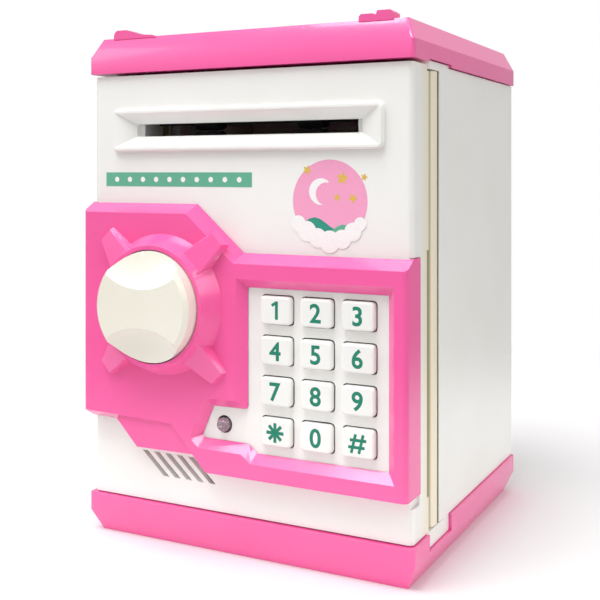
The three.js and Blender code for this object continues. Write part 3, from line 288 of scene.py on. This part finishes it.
def printed_ink(name, *colours):
    """Pad-printing ink: flat colour with 0.5 mm screen mottle, a little duller than the plastic."""
    made, tree, shader, place = new_material(name)
    finish(tree, place, colours, tint_by=0.5, roughness=(0.4, 0.52), roughness_mm=3, relief_by=0.25,
           depth_mm=0.003)
    return made


def ink_skin(shape, thickness_mm):
    """Thickens a flat shape drawn in X and Y, and stands it up to face the front."""
    skin = bmesh.ops.extrude_face_region(shape, geom=shape.faces[:])
    raised = [v for v in skin["geom"] if isinstance(v, bmesh.types.BMVert)]
    bmesh.ops.translate(shape, verts=raised, vec=(0, 0, thickness_mm * MM))
    bmesh.ops.transform(shape, verts=shape.verts, matrix=stand_up)
    bmesh.ops.recalc_face_normals(shape, faces=shape.faces)


def print_on_door(shape, name, ink, layer):
    """Lays a flat shape on the door's face, over the layers of ink below it."""
    ink_skin(shape, ink_mm)
    bmesh.ops.translate(shape, verts=shape.verts,
                        vec=(0, door_face - (lowest_ink_mm + layer * layer_mm) * MM, 0))
    add_piece(shape, name, "door", ink, "white_shell")


def strokes(ends_and_widths):
    """Flat straight strokes, each from one end to the other, in mm. Each lies a hair over the last,
    so that they cross without a flicker."""
    shape = bmesh.new()
    for i, (x0, z0, x1, z1, width) in enumerate(ends_and_widths):
        middle = Matrix.Translation(((x0 + x1) / 2 * MM, (z0 + z1) / 2 * MM, 0.002 * i * MM))
        slant = Matrix.Rotation(math.atan2(z1 - z0, x1 - x0), 4, "Z")
        size = Matrix.Diagonal((math.dist((x0, z0), (x1, z1)) * MM, width * MM, 1, 1))
        bmesh.ops.create_grid(shape, x_segments=1, y_segments=1, size=0.5, matrix=middle @ slant @ size)
    return shape


def disc(x, z, radius, segments):
    """A flat round, in mm."""
    shape = bmesh.new()
    bmesh.ops.create_circle(shape, cap_ends=True, segments=segments, radius=radius * MM,
                            matrix=Matrix.Translation((x * MM, z * MM, 0)))
    return shape


def star(x, z, radius, turn):
    """A flat five-pointed star, in mm: a ten-sided round with every other corner pulled in."""
    shape = disc(0, 0, radius, 10)
    corners = list(shape.verts)
    bmesh.ops.scale(shape, verts=corners[1::2], vec=(0.45, 0.45, 1))
    bmesh.ops.rotate(shape, verts=corners, matrix=Matrix.Rotation(-turn, 3, "Z"))
    bmesh.ops.translate(shape, verts=corners, vec=(x * MM, z * MM, 0))
    return shape


def arc(x, z, radius, steps, start, sweep):
    """Points in mm along part of a circle, from a start angle through a sweep, in degrees."""
    angles = [math.radians(start + sweep * i / steps) for i in range(steps + 1)]
    return [(x + radius * math.cos(a), z + radius * math.sin(a)) for a in angles]


def outline(points):
    """A flat shape inside an outline, in mm."""
    shape = bmesh.new()
    shape.faces.new([shape.verts.new((x * MM, z * MM, 0)) for x, z in points])
    return shape


green_ink = printed_ink("green_pad_ink", "#66b597", "#5fae8f")
deep_green_ink = printed_ink("deep_green_pad_ink", "#2f9b85", "#28907b")
pink_ink = printed_ink("pink_pad_ink", "#f7a9cb", "#f39fc4")
white_ink = printed_ink("white_pad_ink", "#fbfaf8", "#f4f2f0")
gold_ink = printed_ink("gold_pad_ink", "#e9c25a", "#dfb548")

band_left, band_right, band_z, band_height = -60.7, 4.7, 135.75, 5.3
first_dot_x, dot_pitch, dot_radius = -55.5, 6.1, 1.0
band = strokes([(band_left, band_z, band_right, band_z, band_height)])
print_on_door(band, "printed_band", green_ink, 0)
for i in range(10):
    dot = disc(first_dot_x + i * dot_pitch, band_z, dot_radius, 20)
    print_on_door(dot, f"band_dot_{i + 1}", white_ink, 1)

sky_x, sky_z, sky_radius = 35.7, 128.5, 14.3
hill_rim = sky_radius - 0.1
print_on_door(disc(sky_x, sky_z, sky_radius, 96), "printed_disc", pink_ink, 0)
far_hill = [(x, 117.5 + 5.4 * math.exp(-((x - 30) / 6.5) ** 2)) for x in range(24, 48, 2)]
far_hill += arc(sky_x, sky_z, hill_rim, 24, -39, -104)
print_on_door(outline(far_hill), "printed_far_hill", deep_green_ink, 1)
near_hill = [(x, 115.4 + 5.2 * math.exp(-((x - 41) / 6.0) ** 2)) for x in range(27, 46)]
near_hill += arc(sky_x, sky_z, hill_rim, 20, -50, -78)
print_on_door(outline(near_hill), "printed_near_hill", green_ink, 2)
for i, (x, z, radius) in enumerate([(23.6, 120.6, 2.9), (27.0, 118.0, 3.6), (31.2, 115.8, 3.4),
                                    (35.8, 114.6, 3.9), (40.6, 115.6, 3.3), (44.6, 118.2, 3.2),
                                    (47.4, 121.0, 2.3)]):
    print_on_door(disc(x, z, radius, 40), f"printed_cloud_{i + 1}", white_ink, 3 + i / 4)
moon = arc(32.4, 131.8, 4.6, 32, 50, 230) + arc(34.3, 131.0, 3.9, 28, 262, -186)
print_on_door(outline(moon), "printed_moon", white_ink, 1)
for i, (x, z, radius, turn) in enumerate([(40.6, 136.4, 2.5, 0.2), (44.6, 129.6, 1.8, 0.6),
                                          (38.6, 129.8, 1.5, 0.1), (27.0, 139.2, 1.9, 0.4),
                                          (48.8, 136.8, 1.4, 0.3)]):
    print_on_door(star(x, z, radius, turn), f"printed_star_{i + 1}", gold_ink, 1)


# ---------------------------------------------------------------- keys and their legends
# Twelve moulded white caps slide in the keypad plate, on a rubber membrane that springs them back.
# Each has a digit, star or hash sign pad-printed on it in teal.
def printed_character(character, height_mm, weight):
    """A character as a thin closed skin facing the front, about the origin. Its weight, a share of
    the type size, thickens its strokes."""
    curve = bpy.data.curves.new("legend", "FONT")
    curve.body = character
    curve.bevel_depth = weight
    curve.bevel_resolution = 1
    letter = bpy.data.objects.new("legend", curve)
    bpy.context.scene.collection.objects.link(letter)
    mesh = bpy.data.meshes.new_from_object(letter.evaluated_get(bpy.context.evaluated_depsgraph_get()))
    bpy.data.objects.remove(letter)
    bpy.data.curves.remove(curve)
    shape = bmesh.new()
    shape.from_mesh(mesh)
    bpy.data.meshes.remove(mesh)
    left, bottom = [min(v.co[k] for v in shape.verts) for k in (0, 1)]
    right, top = [max(v.co[k] for v in shape.verts) for k in (0, 1)]
    size = height_mm * MM / (top - bottom)
    flatness = 0.15
    bmesh.ops.translate(shape, verts=shape.verts, vec=(-(left + right) / 2, -(bottom + top) / 2, 0))
    bmesh.ops.scale(shape, verts=shape.verts, vec=(size, size, size * flatness))
    bmesh.ops.transform(shape, verts=shape.verts, matrix=stand_up)
    bmesh.ops.remove_doubles(shape, verts=shape.verts, dist=0.001 * MM)
    bmesh.ops.recalc_face_normals(shape, faces=shape.faces)
    return shape


# Below the plate's face each cap's skirt is painted near-black as painted shade, so that the gap round the
# key reads dark.
key_abs = moulded_abs("white_key_cap", ("#f4f5f1", "#eff0ec"), 0.3)
plate_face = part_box("keypad_plate")[0][1]
tree = key_abs.node_tree
key_colour = tree.nodes["Principled BSDF"].inputs["Base Color"]
place = add_node(tree, "ShaderNodeTexCoord").outputs["Object"]
depth = add_node(tree, "ShaderNodeSeparateXYZ", None, {"Vector": place}).outputs["Y"]
# Painted shade: the cap's skirt below the plate's face turns near-black.
skirt_shade = add_node(tree, "ShaderNodeMapRange",
                 {"From Min": plate_face - 0.1 * MM, "From Max": plate_face + 0.3 * MM}, {"Value": depth})
painted_gap_shade = add_node(tree, "ShaderNodeMix", {"data_type": "RGBA", 7: linear("#3a2f2e")},
                  {0: skirt_shade.outputs["Result"], 6: key_colour.links[0].from_socket})
tree.links.new(painted_gap_shade.outputs[2], key_colour)

# Each stroke is the x and z of both its ends and a width, in mm. The hash leans to the right.
arm, bold = 3.4, 1.15
asterisk = [(-arm * math.cos(a), -arm * math.sin(a), arm * math.cos(a), arm * math.sin(a), bold)
            for a in [math.radians(45 * k) for k in range(4)]]
hash_sign = [(side * 1.4 - 0.8, -3.2, side * 1.4 + 0.8, 3.2, 1.0) for side in (-1, 1)]
hash_sign += [(side * 0.3 - 3.0, side * 1.2, side * 0.3 + 3.0, side * 1.2, 1.0) for side in (-1, 1)]
one = [(0.6, -3.1, 0.6, 3.2, bold), (-1.3, 1.7, 0.7, 2.9, 1.0)]
drawn_signs = {"star": asterisk, "hash": hash_sign, "1": one}
digit_height, digit_weight = 6.6, 0.022
teal_ink = printed_ink("teal_pad_ink", "#05876a", "#047a60")
for name in [str(digit) for digit in range(10)] + ["star", "hash"]:
    node = "key_" + name
    low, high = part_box(node)
    cap = welded_copy(node)
    round_edges(cap, 0.35, shortest_mm=0.3)
    add_piece(cap, node + "_cap", node, key_abs, "key_white", node)
    if name in drawn_signs:
        sign = strokes(drawn_signs[name])
        ink_skin(sign, 0.02)
    else:
        sign = printed_character(name, digit_height, digit_weight)
    bmesh.ops.translate(sign, verts=sign.verts,
                        vec=((low[0] + high[0]) / 2, low[1] - 0.02 * MM, (low[2] + high[2]) / 2))
    add_piece(sign, node + "_legend", node, teal_ink, "key_white")


# ---------------------------------------------------------------- status light
# A 5 mm LED, cast in smoke-tinted epoxy and soldered to the circuit board. Its dome stands through
# a hole in the keypad plate.
led_low, led_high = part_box("status_led")
led_radius = (led_high[0] - led_low[0]) / 2
dome = [(led_radius * math.sin(a), led_low[1] + led_radius * (1 - math.cos(a)))
        for a in [math.radians(9 * k) for k in range(11)]]
led = bmesh.new()
rim = [led.verts.new((r, y, 0)) for r, y in dome + [(led_radius, led_high[1]), (0, led_high[1])]]
edges = [led.edges.new(pair) for pair in zip(rim, rim[1:])]
bmesh.ops.spin(led, geom=rim + edges, cent=(0, 0, 0), axis=(0, 1, 0), angle=2 * math.pi, steps=48,
               use_merge=True)
bmesh.ops.remove_doubles(led, verts=led.verts, dist=0.001 * MM)
bmesh.ops.translate(led, verts=led.verts,
                    vec=((led_low[0] + led_high[0]) / 2, 0, (led_low[2] + led_high[2]) / 2))
bmesh.ops.recalc_face_normals(led, faces=led.faces)

# Cast epoxy: grey-mauve and cloudy, with pale flecks 0.9 mm apart inside and a wet gloss.
smoked_epoxy, tree, shader, place = new_material("smoked_led_epoxy")
shader.inputs["IOR"].default_value = 1.5
shader.inputs["Coat Weight"].default_value = 0.6
cells = add_node(tree, "ShaderNodeTexVoronoi", {"Scale": per(0.9)}, {"Vector": place})
flecks = add_node(tree, "ShaderNodeMapRange",
                  {"From Min": 0.1, "From Max": 0.3, "To Min": 1.0, "To Max": 0.0},
                  {"Value": cells.outputs["Distance"]})
finish(tree, place, ("#8b7780", "#ddd3d7"), tint_by=flecks.outputs["Result"],
       roughness=(0.08, 0.16), roughness_mm=1, relief_by=0.8, depth_mm=0.004)
add_piece(led, "status_light", "door", smoked_epoxy, "led_lens", "status_led")


# ---------------------------------------------------------------- steel pieces
# Bought-in metal: turned hinge pins and axle, plated screws, stamped contact plates, the motor's
# drawn can and the solenoid's plunger. They are pressed or screwed in, and keep their own shape.
def dress(material, *nodes):
    """Gives CAD nodes their procedural material."""
    for node in nodes:
        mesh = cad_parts[node].data
        mesh.materials.clear()
        mesh.materials.append(material)


def drawn_metal(name, colours, grain_mm, roughness):
    """Drawn or turned metal: fine lines, long along one axis and narrow across, and cloudy gloss."""
    made, tree, shader, place = new_material(name)
    shader.inputs["Metallic"].default_value = 1.0
    lines = add_node(tree, "ShaderNodeMapping", {"Scale": [per(size) for size in grain_mm]},
                     {"Vector": place})
    streaks = add_node(tree, "ShaderNodeTexNoise", {"Scale": 1.0, "Detail": 3.0},
                       {"Vector": lines.outputs["Vector"]}).outputs["Fac"]
    finish(tree, place, colours, tint_by=streaks, roughness=(roughness - 0.06, roughness + 0.08),
           roughness_mm=4, relief_by=streaks, depth_mm=0.004)
    return made


# Zinc plate is speckled, turned and drawn steel shine in lines, nickel is warmer, and the motor's
# can is the dullest.
zinc_screw = drawn_metal("zinc_plated_screw_steel", ("#c2c3c4", "#a9abad"), (0.3, 0.3, 0.3), 0.3)
axle_steel = drawn_metal("turned_axle_steel", ("#c8c9cb", "#b2b4b7"), (4, 0.15, 0.15), 0.22)
pin_steel = drawn_metal("drawn_hinge_pin_steel", ("#bfc1c4", "#a8aaad"), (0.15, 0.15, 4), 0.25)
nickel_plate = drawn_metal("nickel_contact_plate", ("#d3cfc4", "#bfbab0"), (2, 2, 0.12), 0.26)
motor_can = drawn_metal("drawn_motor_can", ("#b9bbbe", "#a4a6a9"), (5, 0.2, 0.2), 0.34)
screws = [f"{cover}_screw_{i}" for cover in ("base", "cover", "door") for i in (1, 2, 3, 4)]
dress(zinc_screw, *screws, "battery_cover_screw", "knob_screw")
dress(pin_steel, "hinge_pin_top", "hinge_pin_bottom", "solenoid_plunger")
dress(axle_steel, "roller_axle")
dress(nickel_plate, "contact_plate_left", "contact_plate_right")
dress(motor_can, "feed_motor")


# ---------------------------------------------------------------- lock and note feed
# Cam, bolt, gear, pinion and idler are moulded acetal, and the drive rollers are ground rubber on
# the steel axle. The solenoid's copper winding is varnished. All of them sit inside the door.

# Natural acetal: waxy cream with soft light inside it and a faint 8 mm cloud.
acetal, tree, shader, place = new_material("natural_acetal")
shader.inputs["Subsurface Weight"].default_value = 0.12
shader.inputs["Subsurface Radius"].default_value = (0.002, 0.0018, 0.0014)
finish(tree, place, ("#ece9dc", "#e2decd"), tint_by=8, roughness=(0.36, 0.5), roughness_mm=3,
       relief_by=0.4, depth_mm=0.005)
dress(acetal, "knob_cam", "latch_bolt", "drive_gear", "motor_pinion")

# Carbon-filled acetal for the idler: satin near-black, a painted shade that makes the note slot look dark
# from outside.
slot_shade_black_acetal, tree, shader, place = new_material("slot_shade_black_acetal")
finish(tree, place, ("#242426", "#303032"), tint_by=6, roughness=(0.4, 0.55), roughness_mm=3,
       relief_by=0.4, depth_mm=0.005)
dress(slot_shade_black_acetal, "idler_roller")

# Ground rubber: dull near-black, with fine grinding lines round the roller and grey dust.
black_rubber, tree, shader, place = new_material("ground_black_rubber")
lines = add_node(tree, "ShaderNodeMapping", {"Scale": [per(0.3), per(3), per(3)]}, {"Vector": place})
ground = add_node(tree, "ShaderNodeTexNoise", {"Scale": 1.0, "Detail": 2.0},
                  {"Vector": lines.outputs["Vector"]}).outputs["Fac"]
finish(tree, place, ("#2a2b2d", "#3d3d3f"), tint_by=2, roughness=(0.75, 0.9), roughness_mm=1,
       relief_by=ground, depth_mm=0.03)
dress(black_rubber, "drive_roller_left", "drive_roller_right")

# Silicone rubber: soft matt grey with a slight skin.
silicone, tree, shader, place = new_material("grey_silicone_membrane")
finish(tree, place, ("#8f9294", "#85888a"), tint_by=5, roughness=(0.6, 0.75), roughness_mm=2,
       relief_by=0.3, depth_mm=0.008)
dress(silicone, "key_membrane")

# Enamelled copper wire: turns one above another, painted as bright bands with painted shade in dark lines
# between. The wire is 0.4 mm thick, drawn 1.25 mm thick so that its turns show. A wave of scale 1 repeats
# every pi / 10 m.
winding, tree, shader, place = new_material("copper_winding")
shader.inputs["Metallic"].default_value = 0.8
turn_bands_and_shade = add_node(tree, "ShaderNodeTexWave", {"bands_direction": "Z", "Scale": per(1.25) * math.pi / 10,
                                             "Distortion": 0.4, "Detail": 1.0},
                 {"Vector": place}).outputs["Fac"]
finish(tree, place, ("#7a3d1d", "#c9773f"), tint_by=turn_bands_and_shade, roughness=(0.25, 0.4), roughness_mm=2,
       relief_by=turn_bands_and_shade, depth_mm=0.08)
dress(winding, "lock_solenoid")


# ---------------------------------------------------------------- electronics
# The circuit board behind the keys, the loudspeaker behind the slots at the bottom of the door, and
# three AA cells that lie in the battery bay under its cover.

# Glass-epoxy board: dark green solder mask over slightly raised copper tracks 2.4 mm apart.
board, tree, shader, place = new_material("green_circuit_board")
upright = add_node(tree, "ShaderNodeMapping", {"Rotation": (math.radians(90), 0, 0)}, {"Vector": place})
tracks = add_node(tree, "ShaderNodeTexBrick",
                  {"Scale": 1.0, "Brick Width": 6 * MM, "Row Height": 2.4 * MM, "Mortar Size": 0.3 * MM,
                   "Mortar Smooth": 0.1}, {"Vector": upright.outputs["Vector"]}).outputs["Fac"]
finish(tree, place, ("#2a7446", "#3f9560"), tint_by=tracks, roughness=(0.25, 0.4), roughness_mm=2,
       relief_by=tracks, depth_mm=0.03)
dress(board, "circuit_board")

# Pale dust cloth glued over the loudspeaker: matt, with a weave of light and dark. Its threads are
# too fine to show, so the weave is drawn 4.5 mm coarse. A magic texture repeats every 2 pi / 5 m.
speaker_cloth, tree, shader, place = new_material("speaker_cloth_and_basket")
weave = add_node(tree, "ShaderNodeTexMagic",
                 {"Scale": per(4.5) * 2 * math.pi / 5, "turbulence_depth": 0},
                 {"Vector": place}).outputs["Fac"]
finish(tree, place, ("#cfcfcb", "#e6e6e2"), tint_by=weave, roughness=(0.7, 0.85), roughness_mm=2,
       relief_by=weave, depth_mm=0.05)
dress(speaker_cloth, "speaker")

# Shrunk plastic jacket: charcoal with a gold end third, and bare metal at both ends of each cell.
cell_low, cell_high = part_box("battery_cell_1")
cell_jacket, tree, shader, place = new_material("printed_cell_jacket")
shader.inputs["Metallic"].default_value = 0.35
along = add_node(tree, "ShaderNodeSeparateXYZ", None, {"Vector": place}).outputs["X"]
share = add_node(tree, "ShaderNodeMapRange", {"From Min": cell_low[0], "From Max": cell_high[0]},
                 {"Value": along})
bands = add_node(tree, "ShaderNodeValToRGB", None, {"Fac": share.outputs["Result"]})
bare_metal, charcoal, gold = linear("#c1c1be"), linear("#2d3135"), linear("#bf9442")
bands.color_ramp.interpolation = "CONSTANT"
bands.color_ramp.elements[0].color = bare_metal
bands.color_ramp.elements[1].position = 0.015
bands.color_ramp.elements[1].color = charcoal
bands.color_ramp.elements.new(0.66).color = gold
bands.color_ramp.elements.new(0.965).color = bare_metal
finish(tree, place, None, tint_by=bands.outputs["Color"], roughness=(0.25, 0.4), roughness_mm=5,
       relief_by=6, depth_mm=0.02)
dress(cell_jacket, "battery_cell_1", "battery_cell_2", "battery_cell_3")
